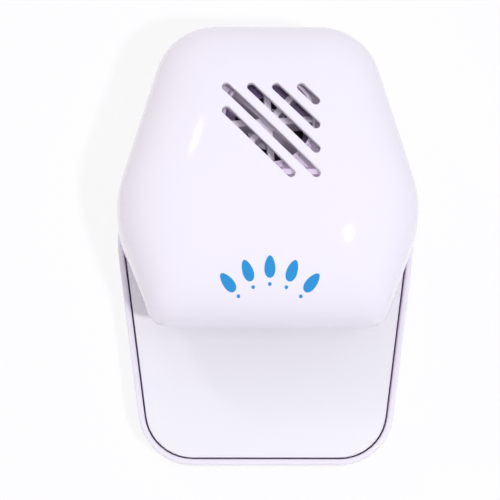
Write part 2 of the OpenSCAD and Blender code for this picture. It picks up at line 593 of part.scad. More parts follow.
wire_r = 0.6;
over_z = bay_top + 0.75;          // over the bay's lid
solder_z = bay_top + 0.9;
side_x = bay_x + bay_wall + 1.2;  // beside the bay
pass_x = 24;                      // between the hinge posts and the ribs
pass_y = hinge_y - 13.4;
switch_z = floor_z + 1.2;
module wire(points) { rod(through(points), wire_r, [0.05, 0.1, 1]); }
// plus of the rear cell to the switch
module wire_red() color([0.75, 0.06, 0.06]) wire([
  [-bay_x - 0.1 - wire_r, cell_yb, solder_z], [-bay_x - 1.9, cell_yb - 1.3, solder_z + 0.1],
  [-side_x, cell_yb - 3.2, bay_top - 0.8], [-side_x, cell_yb - 6, bay_top - 5], [-side_x, cell_ya + 2, 9],
  [-side_x, bay_y0, 7.5], [-side_x, hinge_y, 7], [-pass_x, pass_y, 6], [-14, switch_y + 1, 5.4],
  [-tab_x - 3, switch_y, switch_z + 0.1], [-tab_x - 0.2, switch_y, switch_z]]);
// minus of the front cell to the motor
module wire_black() color([0.03, 0.03, 0.03]) wire([
  [-bay_x + contact_t + 0.1 + wire_r, cell_ya, solder_z], [-bay_x + 4, cell_ya - 0.6, over_z],
  [-18, cell_ya + 0.6, over_z], [-10, fan_y - 8.2, over_z], [-5, fan_y - 7.4, over_z],
  [-1.4, fan_y - 7, over_z]]);
// switch to the motor
module wire_switch() color([0.75, 0.06, 0.06]) wire([
  [tab_x + 0.2, switch_y, switch_z], [tab_x + 3, switch_y, switch_z + 0.1], [14, switch_y + 1, 5.4],
  [pass_x, pass_y, 6], [side_x, hinge_y, 7], [side_x, bay_y0, 7.5], [side_x, cell_ya + 2, 9],
  [side_x, cell_ya + 7.6, bay_top - 5], [side_x, cell_ya + 9.6, bay_top - 1.5],
  [side_x - 0.2, cell_ya + 11, bay_top + 0.6], [bay_x - 0.2, cell_ya + 12.6, over_z + 0.4],
  [bay_x - 4, cell_ya + 13.4, over_z], [18, fan_y + 7, over_z], [10, fan_y + 7.6, over_z],
  [5, fan_y + 7.3, over_z], [1.4, fan_y + 7, over_z]]);

// ---------- screws ----------
// Cross-head screw, the head's underside at z = 0 and the shank up
module screw(r, l, head_r, head_h) difference() {
  union() { translate([0, 0, -head_h]) cylinder(r = head_r, h = head_h); cylinder(r = r, h = l); }
  for (a = [0, 90]) rotate([0, 0, a])
    block([-head_r * 0.6, -0.3, -head_h - 1], [head_r * 0.6, 0.3, -head_h * 0.45]);
}
module case_screws() color(steel) at(case_pos) translate([0, 0, base_z + 4]) screw(case_screw_r, 20, 2.4, 1.6);
module clamp_screws() color(steel) for (s = [-1, 1]) translate([s * clamp_x, fan_y, strap_z])
  screw(clamp_screw_r, 7, 1.7, 1);
module cover_screws() color(steel) at(lug_pos) translate([0, 0, cover_z - 5])
  screw(cover_screw_r, 8.2, 1.9, 1.2);

hood();
union() { base_tub(); color(white) door_ears(); }
press_plate();
battery_door();
rubber_feet();
air_panel();
outlet_grille();
fan_cover();
fan_housing();
impeller();
motor_can();
motor_magnets();
motor_armature();
motor_shaft();
motor_bushes();
motor_end_cap();
motor_terminals();
motor_clamp();
battery_a();
battery_b();
battery_springs();
battery_contacts();
switch_body();
switch_plunger();
switch_terminals();
plate_springs();
wire_red();
wire_black();
wire_switch();
case_screws();
clamp_screws();
cover_screws();
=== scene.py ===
import json
import math

import bmesh
import bpy
import numpy as np
from mathutils import Matrix, Vector, geometry


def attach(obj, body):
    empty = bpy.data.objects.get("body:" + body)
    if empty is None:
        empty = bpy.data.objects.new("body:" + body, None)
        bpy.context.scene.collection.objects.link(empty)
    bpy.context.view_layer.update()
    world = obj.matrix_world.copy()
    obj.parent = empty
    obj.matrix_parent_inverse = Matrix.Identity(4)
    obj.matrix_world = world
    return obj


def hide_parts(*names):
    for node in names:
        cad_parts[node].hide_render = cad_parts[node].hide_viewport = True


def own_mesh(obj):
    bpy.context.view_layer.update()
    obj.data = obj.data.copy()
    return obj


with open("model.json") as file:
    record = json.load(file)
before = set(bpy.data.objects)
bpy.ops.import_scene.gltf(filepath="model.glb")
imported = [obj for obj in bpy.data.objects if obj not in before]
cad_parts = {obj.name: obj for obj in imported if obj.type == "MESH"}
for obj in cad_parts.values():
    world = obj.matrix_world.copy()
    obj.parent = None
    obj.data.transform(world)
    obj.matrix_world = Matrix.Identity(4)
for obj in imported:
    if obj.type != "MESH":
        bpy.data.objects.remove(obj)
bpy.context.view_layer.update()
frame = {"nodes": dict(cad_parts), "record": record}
nodes = frame["nodes"]
MM = 0.001

# ---- sizes of the dryer in millimetres, as the solids have them ----
# the case's length and width, the hood's top, the base's rim, and the wall
CASE_L, CASE_W, HOOD_Z, RIM_Z, WALL = 126.0, 90.0, 60.0, 16.0, 2.2
Y_FRONT, Y_BACK = -CASE_L / 2, CASE_L / 2
# the mouth: place and height of the lip, and the length over which the hood's edge climbs to it
LIP_Y = Y_FRONT + 36.5
MOUTH_Z, MOUTH_L = 39.0, 32.0
# the point that the hood draws in to, and the fan's shaft
HOOD_CY = Y_BACK - 45.9
FAN_Y = Y_BACK - 31.6
# the slots: width, pitch, and side and middle of the square that they fill
SLOT_W, SLOT_PITCH, VENT_SIDE, VENT_C = 2.3, 4.95, 25.0, (0.35, FAN_Y - 4.8)
# half widths at the lip, the back, the base's front and the widest place, and where that is
LIP_X, BACK_X, FRONT_X, SIDE_X, WIDE_Y = 32.6, 28.8, 35.4, CASE_W / 2 + 0.3, Y_BACK - 55.7
# corners of the two plan outlines, and the radii that round them
HOOD_V = np.array([[LIP_X, LIP_Y], [SIDE_X, WIDE_Y], [BACK_X, Y_BACK],
                   [-BACK_X, Y_BACK], [-SIDE_X, WIDE_Y], [-LIP_X, LIP_Y]])
HOOD_R = [7, 30, 18, 18, 30, 7]
# the base's widest corner lies a little behind the hood's, on the same flank
BASE_LAG = 0.6
BASE_X = SIDE_X - BASE_LAG * (SIDE_X - BACK_X) / (Y_BACK - WIDE_Y)
BASE_V = np.array([[FRONT_X, Y_FRONT], [BASE_X, WIDE_Y + BASE_LAG], [BACK_X, Y_BACK],
                   [-BACK_X, Y_BACK], [-BASE_X, WIDE_Y + BASE_LAG], [-FRONT_X, Y_FRONT]])
BASE_R = [16, 50, 18, 18, 50, 16]
# the hood's top line: its highest place, and how fast it falls to the lip and to the back
CROWN_Y, FALL_FRONT, FALL_BACK = 11.0, 0.0045, 0.0016
# the shoulder's curve: exponent at the back, what the nose adds, and how far behind the lip
# the whole of that is reached
ROUND_BACK, ROUND_NOSE, ROUND_END = 4.8, 2.2, 4
# the edge's rounding on the outside and the inside, and what the skin rises there by the radian
EDGE_OUT, EDGE_IN, EDGE_CLIMB = 0.55, 0.3, 43.0
# the hood's cap: the skin's angle in degrees where it starts, the rounding of the slots' upper
# edge, the mesh size, and how far the mesh stays off the cap's rim and off the slots
CAP_ANGLE, SLOT_ROUND, GRID, RIM_GAP, SLOT_GAP = 56, 0.35, 1.15, 0.8, 0.45
# the print on the nose: place of the middle nail, radius of the fan of nails, degrees between
# two of them, a nail's half length, half width and taper, a dot's radius and its distance from
# the nail's end, and the height of the ink's film
PRINT_Y, FAN_R, FAN_STEP = -11.8, 18.0, 20.0
NAIL_L, NAIL_W, NAIL_TAPER, DOT_R, DOT_GAP, INK = 3.0, 1.5, 0.2, 0.5, 1.6, 0.03
# the tray's painted violet shade starts this far inside the base's outline and this high, and
# ends at the rim's rounding; the plate's underside lies below PLATE_Z; a cell's end caps lie past
# CELL_END
SHADE_IN, SHADE_Z, RIM_ROUND, PLATE_Z, CELL_END = 1.5, 3.4, 0.3, 14.7, 24.2


# ---- stage: camera, floor, lights ----
def srgb(hex_code):
    """Linear RGBA of an sRGB hex colour."""
    c = np.array([int(hex_code[i:i + 2], 16) for i in (1, 3, 5)]) / 255
    lin = np.where(c <= 0.04045, c / 12.92, ((c + 0.055) / 1.055) ** 2.4)
    return (*lin.tolist(), 1.0)


def node(tree, kind, links=None, **settings):
    """Adds one shader node: settings set its properties, or its sockets by name, in the order
    given, and links join sockets to it."""
    n = tree.nodes.new(kind)
    for key, value in settings.items():
        name = key.replace("_", " ")
        if name in n.inputs and not hasattr(n, key):
            n.inputs[name].default_value = value
        else:
            setattr(n, key, value)
    for name, source in (links or {}).items():
        tree.links.new(source, n.inputs[name])
    return n


# the light tent's strength at the horizon and overhead, and its factor in front and behind
TENT_SIDE, TENT_TOP, TENT_FRONT, TENT_BACK = 1.0, 0.26, 0.72, 1.3
TENT_LEFT, TENT_RIGHT, LAMP_COLOUR, PAPER = "#fdf3ef", "#f6f5ff", "#f7f6ff", "#f4f3f6"
# the floor's half side in metres, and the share of white in what the camera sees of it
FLOOR_HALF, FLOOR_GLOW = 3.0, 0.82
# the camera: its place, what it looks at, focal length and picture in pixels, sensor
EYE, AIM = Vector((-14.6, -103.7, 560.0)) * MM, Vector((-4.9, -1.0, 25.0)) * MM
FOCAL_PX, PICTURE_PX, SENSOR = 1859.6, 500.0, 36.0


def camera():
    """Looks from EYE to AIM, rolled so that the object's length stands upright in the picture."""
    data = bpy.data.cameras.new("camera")
    data.sensor_width, data.lens = SENSOR, FOCAL_PX * SENSOR / PICTURE_PX
    data.clip_start, data.clip_end = 0.01, 10.0
    cam = bpy.data.objects.new("camera", data)
    bpy.context.scene.collection.objects.link(cam)
    w = (AIM - EYE).normalized()
    up = Vector((0, 1, 0)) - w * w.y
    up.normalize()
    right = w.cross(up)
    cam.matrix_world = Matrix.Translation(EYE) @ Matrix((right, up, -w)).transposed().to_4x4()
    bpy.context.scene.camera = cam


def lamp(name, toward, size, share, in_gloss):
    """A round lamp one metre away, in the direction that points from the dryer toward it. share
    is the light that it gives a white card turned to it, where 1 shows the card as white."""
    data = bpy.data.lights.new(name, "AREA")
    data.shape, data.size = "DISK", size
    data.energy, data.color = share * math.pi ** 2, srgb(LAMP_COLOUR)[:3]
    o = bpy.data.objects.new(name, data)
    o.location = Vector(toward).normalized()
    o.rotation_euler = Vector(toward).to_track_quat("Z", "Y").to_euler()
    o.visible_glossy = in_gloss
    bpy.context.scene.collection.objects.link(o)


def seen_straight(tree):
    """1 on camera, glossy and transmission rays, 0 on the rays that light other surfaces."""
    path = node(tree, "ShaderNodeLightPath").outputs
    most = node(tree, "ShaderNodeMath", {0: path["Is Camera Ray"], 1: path["Is Glossy Ray"]},
                operation="MAXIMUM")
    return node(tree, "ShaderNodeMath", {0: most.outputs[0], 1: path["Is Transmission Ray"]},
                operation="MAXIMUM").outputs[0]


def light_tent():
    """White surroundings that are brightest near the horizon and at the back, and warmer on the
    left, as in a light tent that is open at its front: strength is a straight line in the
    direction's z times one in its y, and colour one in its x. Seen straight, they are white."""
    world = bpy.data.worlds.new("light tent")
    bpy.context.scene.world = world
    world.use_nodes = True
    t = world.node_tree
    t.nodes.clear()
    way = node(t, "ShaderNodeTexCoord").outputs["Generated"]
    way = node(t, "ShaderNodeSeparateXYZ", {"Vector": way}).outputs
    level = node(t, "ShaderNodeMapRange", {"Value": way["Z"]},
                 From_Min=0.0, From_Max=1.0, To_Min=TENT_SIDE, To_Max=TENT_TOP)
    depth = node(t, "ShaderNodeMapRange", {"Value": way["Y"]},
                 From_Min=-1.0, From_Max=1.0, To_Min=TENT_FRONT, To_Max=TENT_BACK)
    power = node(t, "ShaderNodeMath", {0: level.outputs[0], 1: depth.outputs[0]},
                 operation="MULTIPLY")
    side = node(t, "ShaderNodeMapRange", {"Value": way["X"]}, From_Min=-1.0, From_Max=1.0)
    tint = node(t, "ShaderNodeMix", {"Factor": side.outputs[0]}, data_type="RGBA",
                A=srgb(TENT_LEFT), B=srgb(TENT_RIGHT))
    cloth = node(t, "ShaderNodeBackground",
                 {"Strength": power.outputs[0], "Color": tint.outputs[2]})
    white = node(t, "ShaderNodeBackground", Color=(1, 1, 1, 1), Strength=1.0)
    mix = node(t, "ShaderNodeMixShader",
               {0: seen_straight(t), 1: cloth.outputs[0], 2: white.outputs[0]})
    t.links.new(mix.outputs[0], node(t, "ShaderNodeOutputWorld").inputs["Surface"])


def paper_floor():
    """A square of pale paper under the dryer, seen straight as nearly white but for shadows."""
    x, y = np.array([-1.0, 1.0, 1.0, -1.0]), np.array([-1.0, -1.0, 1.0, 1.0])
    me = bpy.data.meshes.new("floor")
    me.from_pydata((FLOOR_HALF * np.stack([x, y, 0 * x], 1)).tolist(), [], [(0, 1, 2, 3)])
    floor = bpy.data.objects.new("floor", me)
    bpy.context.scene.collection.objects.link(floor)
    m = bpy.data.materials.new("floor paper")
    m.use_nodes = True
    t = m.node_tree
    t.nodes.clear()
    paper = node(t, "ShaderNodeBsdfDiffuse", Color=srgb(PAPER))
    glow = node(t, "ShaderNodeEmission", Color=(1, 1, 1, 1), Strength=1.0)
    share = node(t, "ShaderNodeMath", {0: seen_straight(t)}, operation="MULTIPLY")
    share.inputs[1].default_value = FLOOR_GLOW
    mix = node(t, "ShaderNodeMixShader",
               {0: share.outputs[0], 1: paper.outputs[0], 2: glow.outputs[0]})
    t.links.new(mix.outputs[0], node(t, "ShaderNodeOutputMaterial").inputs["Surface"])
    me.materials.append(m)


def studio():
    """The surroundings, the floor and five lamps. The reflection of the three large ones would
    spread over the hood, so they are left out of the glossy rays."""
    bpy.context.scene.view_settings.view_transform = "Standard"
    light_tent()
    paper_floor()
    lamp("overhead lamp", (0.25, -0.28, 0.93), 0.05, 0.36, in_gloss=False)
    lamp("lamp beside the camera", EYE - AIM, 0.05, 0.17, in_gloss=False)
    lamp("left soft box", (-0.52, 0.47, 0.72), 0.12, 0.07, in_gloss=False)
    lamp("front spot", (0.213, -0.052, 0.976), 0.044, 0.03, in_gloss=True)
    lamp("rear spot", (-0.206, 0.382, 0.901), 0.032, 0.014, in_gloss=True)


# ---- finishes ----
def finish_of(name, colour, rough, ior=1.5, metallic=0.0, grain=0.0, grain_mm=0.4, tone=0.0,
              tone_mm=30.0, rough_var=0.0):
    """A principled finish on Object coordinates: grain is the strength of a fine bump, tone the
    share by which the colour drifts, rough_var the drift of the roughness, each over its own
    size in millimetres."""
    m = bpy.data.materials.new(name)
    m.use_nodes = True
    t = m.node_tree
    t.nodes.clear()
    out = node(t, "ShaderNodeOutputMaterial")
    p = node(t, "ShaderNodeBsdfPrincipled", Base_Color=srgb(colour), Roughness=rough, IOR=ior,
             Metallic=metallic)
    t.links.new(p.outputs[0], out.inputs["Surface"])
    where = node(t, "ShaderNodeTexCoord").outputs["Object"]
    if tone or rough_var:
        drift = node(t, "ShaderNodeTexNoise", {"Vector": where}, Scale=1 / (tone_mm * MM),
                     Detail=3.0, Roughness=0.55).outputs["Fac"]
    if tone:
        dark, light = [tuple(min(1.0, c * k) for c in srgb(colour)[:3]) + (1.0,)
                       for k in (1 - tone, 1 + tone)]
        mix = node(t, "ShaderNodeMix", {"Factor": drift}, data_type="RGBA", A=dark, B=light)
        t.links.new(mix.outputs[2], p.inputs["Base Color"])
    if rough_var:
        ramp = node(t, "ShaderNodeMapRange", {"Value": drift}, From_Min=0.3, From_Max=0.7,
                    To_Min=rough - rough_var, To_Max=rough + rough_var)
        t.links.new(ramp.outputs[0], p.inputs["Roughness"])
    if grain:
        fine = node(t, "ShaderNodeTexNoise", {"Vector": where}, Scale=1 / (grain_mm * MM),
                    Detail=2.0, Roughness=0.6)
        bump = node(t, "ShaderNodeBump", {"Height": fine.outputs["Fac"]}, Strength=grain,
                    Distance=0.05 * MM)
        t.links.new(bump.outputs[0], p.inputs["Normal"])
    return m


def cell_finish(name, end, band_mm=19.0, fade_mm=0.1):
    """Printed film on a cell: a green sleeve, which turns to a silver band where x, counted
    toward end, passes band_mm."""
    m = finish_of(name, "#2f7a4c", 0.32, grain=0.1, grain_mm=0.5, tone=0.04, tone_mm=14)
    t = m.node_tree
    p = next(n for n in t.nodes if n.type == "BSDF_PRINCIPLED")
    where = node(t, "ShaderNodeTexCoord").outputs["Object"]
    x = node(t, "ShaderNodeSeparateXYZ", {"Vector": where}).outputs["X"]
    band = node(t, "ShaderNodeMapRange", {"Value": x}, From_Min=end * band_mm * MM,
                From_Max=end * (band_mm + fade_mm) * MM).outputs[0]
    sleeve = p.inputs["Base Color"].links[0].from_socket
    mix = node(t, "ShaderNodeMix", {"Factor": band, 6: sleeve}, data_type="RGBA",
               B=srgb("#c9cbcf"))
    t.links.new(mix.outputs[2], p.inputs["Base Color"])
    t.links.new(band, p.inputs["Metallic"])
    return m


def finishes():
    """Every finish of the dryer, by the name of what it is."""
    f = {}
    # polished mould, so a clear gloss; the tone drifts a little where the melt flowed
    f["gloss_abs"] = finish_of("glossy white ABS", "#eeecf4", 0.10, 1.53, grain=0.05,
                               grain_mm=0.9, tone=0.012, tone_mm=38, rough_var=0.02)
    # the plate and the door come from a fine-eroded mould: satin
    f["satin_abs"] = finish_of("satin white ABS", "#f1f2f4", 0.42, 1.53, grain=0.14,
                               grain_mm=0.35, tone=0.012, tone_mm=30, rough_var=0.04)
    # unpolished core side of the mould: dull white, with a faint violet cast that is painted
    # shade
    f["inner_abs_painted_shade"] = finish_of("moulded ABS, inside, painted violet shade", "#ecdff1", 0.5, 1.53, grain=0.2,
                               grain_mm=0.4, tone=0.02)
    # painted shade: the same plastic, a little paler and more violet, on the tray's inside and
    # the plate's underside
    f["deep_abs"] = finish_of("painted violet shade, tray and plate underside", "#efe2fa", 0.55, 1.53, grain=0.2,
                              grain_mm=0.4, tone=0.05)
    # white plastic, dull and uneven, with darker violet painted shade so that the scroll reads as
    # the dark ground of the fan
    f["scroll_painted_shade"] = finish_of("ABS scroll, painted violet shade", "#c3acdc", 0.5, 1.53, grain=0.2,
                                grain_mm=0.4, tone=0.04)
    # waxy, a little softer in its gloss than ABS
    f["fan_pp"] = finish_of("moulded polypropylene fan", "#f0e8f4", 0.45, 1.49, grain=0.15,
                            grain_mm=0.5, tone=0.02)
    # soft and dusty: no clear highlight
    f["rubber"] = finish_of("moulded rubber", "#222226", 0.72, 1.52, grain=0.6, grain_mm=0.5,
                            tone=0.08, tone_mm=6)
    # stoved lacquer over deep-drawn steel: an even half gloss
    f["lacquer"] = finish_of("black lacquered steel can", "#17141d", 0.3, 1.5, grain=0.1,
                             grain_mm=0.6, tone=0.1)
    # pressed powder: matt and grainy
    f["ferrite"] = finish_of("pressed ferrite", "#2c2b30", 0.65, 1.6, grain=0.5, grain_mm=0.3,
                             tone=0.1, tone_mm=4)
    # clear lacquer on copper wire: warm gloss, broken up by the turns
    f["winding"] = finish_of("lacquered copper winding", "#b5602f", 0.3, metallic=1.0,
                             grain=0.5, grain_mm=0.25, tone=0.1, tone_mm=3)
    # ground and polished: clear reflections with fine scratches
    f["steel"] = finish_of("ground steel", "#b9babd", 0.28, metallic=1.0, grain=0.15,
                           grain_mm=0.2, tone=0.05, tone_mm=5)
    # bright zinc, a little cloudy
    f["zinc"] = finish_of("zinc-plated steel", "#c3c5c8", 0.36, metallic=1.0, grain=0.25,
                          grain_mm=0.3, tone=0.06, tone_mm=4)
    # sintered and soaked with oil: open pores, dull gold
    f["bronze"] = finish_of("sintered bronze", "#a98245", 0.45, metallic=1.0, grain=0.6,
                            grain_mm=0.15, tone=0.08, tone_mm=2)
    # nickel over rolled brass: smooth, with a yellow cast
    f["contact"] = finish_of("nickel-plated brass", "#cfc4a6", 0.26, metallic=1.0, grain=0.1,
                             grain_mm=0.4, tone=0.05, tone_mm=8)
    # glass-filled plastic: dull black, slightly rough
    f["black_pbt"] = finish_of("black moulded PBT", "#1b1b1f", 0.5, 1.55, grain=0.3,
                               grain_mm=0.3, tone=0.08)
    # small hard button from a polished mould
    f["red_cap"] = finish_of("red moulded cap", "#a51f1b", 0.35, 1.5, grain=0.1, grain_mm=0.4,
                             tone=0.04)
    # a thin glossy film of ink, even in colour
    f["ink"] = finish_of("blue pad-print ink", "#1c90d0", 0.3, 1.5, grain=0.1, grain_mm=0.3,
                         tone=0.03, tone_mm=6)
    # the sleeve's silver band lies at the plus end
    f["sleeve_front"] = cell_finish("cell sleeve, plus to the right", 1)
    f["sleeve_rear"] = cell_finish("cell sleeve, plus to the left", -1)
    # extruded insulation: smooth, with a soft sheen along the wire
    f["pvc_red"] = finish_of("red PVC insulation", "#b0201a", 0.4, 1.53, grain=0.15,
                             grain_mm=0.6, tone=0.05, tone_mm=9)
    f["pvc_black"] = finish_of("black PVC insulation", "#151516", 0.42, 1.53, grain=0.15,
                               grain_mm=0.6, tone=0.08, tone_mm=9)
    return f


# ---- shapes ----
def unit(v):
    """Vectors over their own length."""
    return v / np.linalg.norm(v, axis=-1, keepdims=True)


def outline(v, r, d, n, spans):
    """Plan outline with rounded corners, pulled in by d. The corner v with radius r has its
    arc's centre at v less r over the cosine of half the turn, along the bisector. Each arc keeps
    its centre and loses d of radius. n steps on an arc, spans[i] steps on the straight side
    after corner i."""
    v, k, pts = np.asarray(v, float), len(v), []
    arcs = []
    for i in range(k):
        d1, d2 = unit(v[i] - v[i - 1]), unit(v[(i + 1) % k] - v[i])
        a1, a2 = math.atan2(-d1[0], d1[1]), math.atan2(-d2[0], d2[1])
        turn = (a2 - a1) % (2 * math.pi)
        mid = a1 + turn / 2
        c = v[i] - r[i] / math.cos(turn / 2) * np.array([math.cos(mid), math.sin(mid)])
        a = a1 + turn * np.linspace(0, 1, n + 1)
        arcs.append(c + (r[i] - d) * np.stack([np.cos(a), np.sin(a)], 1))
    for i in range(k):
        t = np.linspace(0, 1, spans[i] + 1)[1:-1, None]
        pts += [arcs[i], arcs[i][-1] * (1 - t) + arcs[(i + 1) % k][0] * t]
    return np.concatenate(pts)


def crown(y):
    """Height of the hood's top along its length: the top less a square of the distance from
    CROWN_Y, faster to the lip than to the back."""
    return HOOD_Z - np.where(y < CROWN_Y, FALL_FRONT, FALL_BACK) * (y - CROWN_Y) ** 2


def mouth_share(y, length):
    """0 where the hood's edge starts to climb, 1 when it is length nearer to the lip."""
    return np.clip((LIP_Y + MOUTH_L - y) / length, 0, 1)


def roundness(y):
    """Exponent of the shoulder's curve: it grows in a straight line toward the nose."""
    return ROUND_BACK + ROUND_NOSE * mouth_share(y, MOUTH_L - ROUND_END)


def mouth_edge(y):
    """Height of the hood's lower edge: a quarter sine from the rim up to the lip."""
    return RIM_Z + (MOUTH_Z - RIM_Z) * np.sin(np.pi / 2 * mouth_share(y, MOUTH_L))


def hood_skin(plan, b, d):
    """Point of the hood at plan point and angle b: a superellipse from the edge (b = 0) to the
    crown (b = 90 degrees), drawn in toward the hood's middle while it climbs. With q its
    exponent and g the q-th root of cos(b)^q + sin(b)^q, the share of the way out is cos(b) / g
    and that of the height sin(b) / g. d is the depth under the outer face."""
    q = roundness(plan[..., 1])
    g = (np.cos(b) ** q + np.sin(b) ** q) ** (1 / q)
    s, h = np.cos(b) / g, np.sin(b) / g
    x, y = plan[..., 0] * s, HOOD_CY + (plan[..., 1] - HOOD_CY) * s
    return np.stack([x, y, RIM_Z + (crown(y) - d - RIM_Z) * h], -1)


def round_middle(p):
    """Angle and distance of plan points, seen from the hood's middle."""
    p = p - [0, HOOD_CY]
    return np.arctan2(p[:, 1], p[:, 0]), np.linalg.norm(p, axis=1)


def lift(p, plan, d):
    """Height of the hood's skin over points p, from the same superellipse: with reach the share
    of the way out to the plan's edge, the height's share is the q-th root of 1 - reach^q."""
    (turn, far), (angle, edge) = round_middle(p), round_middle(plan)
    reach = far / np.interp(turn, angle, edge, period=2 * np.pi)
    q = np.interp(turn, angle, roundness(plan[:, 1]), period=2 * np.pi)
    return RIM_Z + (crown(p[:, 1]) - d - RIM_Z) * (1 - np.minimum(reach, 1) ** q) ** (1 / q)


def edge_angle(plan, d):
    """Angle b at which each column of the hood meets the lower edge, by halving the span from 0
    to 0.9 radians 40 times."""
    lo, hi = np.zeros(len(plan)), np.full(len(plan), 0.9)
    for _ in range(40):
        mid = (lo + hi) / 2
        p = hood_skin(plan, mid, d)
        under = p[:, 2] < mouth_edge(p[:, 1])
        lo, hi = np.where(under, mid, lo), np.where(under, hi, mid)
    return np.where(plan[:, 1] > LIP_Y + MOUTH_L, 0, lo)


def slot_ends():
    """Centre line ends of the five slots: the falling diagonal of the vent's square and the
    lines beside it, one on its lower left and three on its upper right, a pitch apart."""
    s, c = VENT_SIDE / 2, np.array(VENT_C)
    out = []
    for i in range(-1, 4):
        o = i * SLOT_PITCH * math.sqrt(2)
        a, b = ((o - s, s), (s, o - s)) if o >= 0 else ((-s, s + o), (s + o, -s))
        out.append((c + a, c + b))
    return out


def slot_loop(a, b, w):
    """Outline of a slot of half width w round the line a-b: two half circles of 16 steps and two
    straight sides of steps near 0.7."""
    u = unit(b - a)
    g = math.atan2(u[1], u[0])
    k = np.linspace(0, np.pi, 17)
    cap_b = b + w * np.stack([np.cos(g - np.pi / 2 + k), np.sin(g - np.pi / 2 + k)], 1)
    cap_a = a + w * np.stack([np.cos(g + np.pi / 2 + k), np.sin(g + np.pi / 2 + k)], 1)
    m = int(np.linalg.norm(b - a) / 0.7)
    t = np.linspace(0, 1, m + 1)[1:-1, None]
    there, back = cap_b[-1] * (1 - t) + cap_a[0] * t, cap_a[-1] * (1 - t) + cap_b[0] * t
    return np.concatenate([cap_b, there, cap_a, back])


def outward(ring):
    """Unit normals of a closed plan outline's sides, which point out of it."""
    side = unit(np.roll(ring, -1, 0) - ring)
    return np.stack([side[:, 1], -side[:, 0]], 1)


def outside(p, ring):
    """How far plan points lie outside an outline, less than 0 inside: the greatest of their
    distances from the lines of its sides."""
    normal = outward(ring)
    return (p @ normal.T - (ring * normal).sum(1)).max(1)


def strip(a, b):
    """Quads between two closed rows of vertex numbers."""
    return np.stack([a, np.roll(a, -1), np.roll(b, -1), b], 1)


# edges sharper than this many degrees stay crisp, on new pieces and on copies of the solids;
# points of a copy nearer than this many metres are joined
CRISP, CRISP_COPY, WELD = 40, 32, 2e-6


def make(name, verts, faces, body, slot, *materials):
    """A mesh object that rides on a body, from points in millimetres and arrays of faces. slot,
    the record's material slot or None for ink, is not used."""
    me = bpy.data.meshes.new(name)
    me.from_pydata((verts * MM).tolist(), [], [f for part in faces for f in part.tolist()])
    me.validate()
    bm = bmesh.new()
    bm.from_mesh(me)
    bmesh.ops.recalc_face_normals(bm, faces=bm.faces)
    bm.to_mesh(me)
    bm.free()
    me.shade_smooth()
    me.set_sharp_from_angle(angle=math.radians(CRISP))
    o = bpy.data.objects.new(name, me)
    bpy.context.scene.collection.objects.link(o)
    for m in materials:
        me.materials.append(m)
    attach(o, body)
    return o


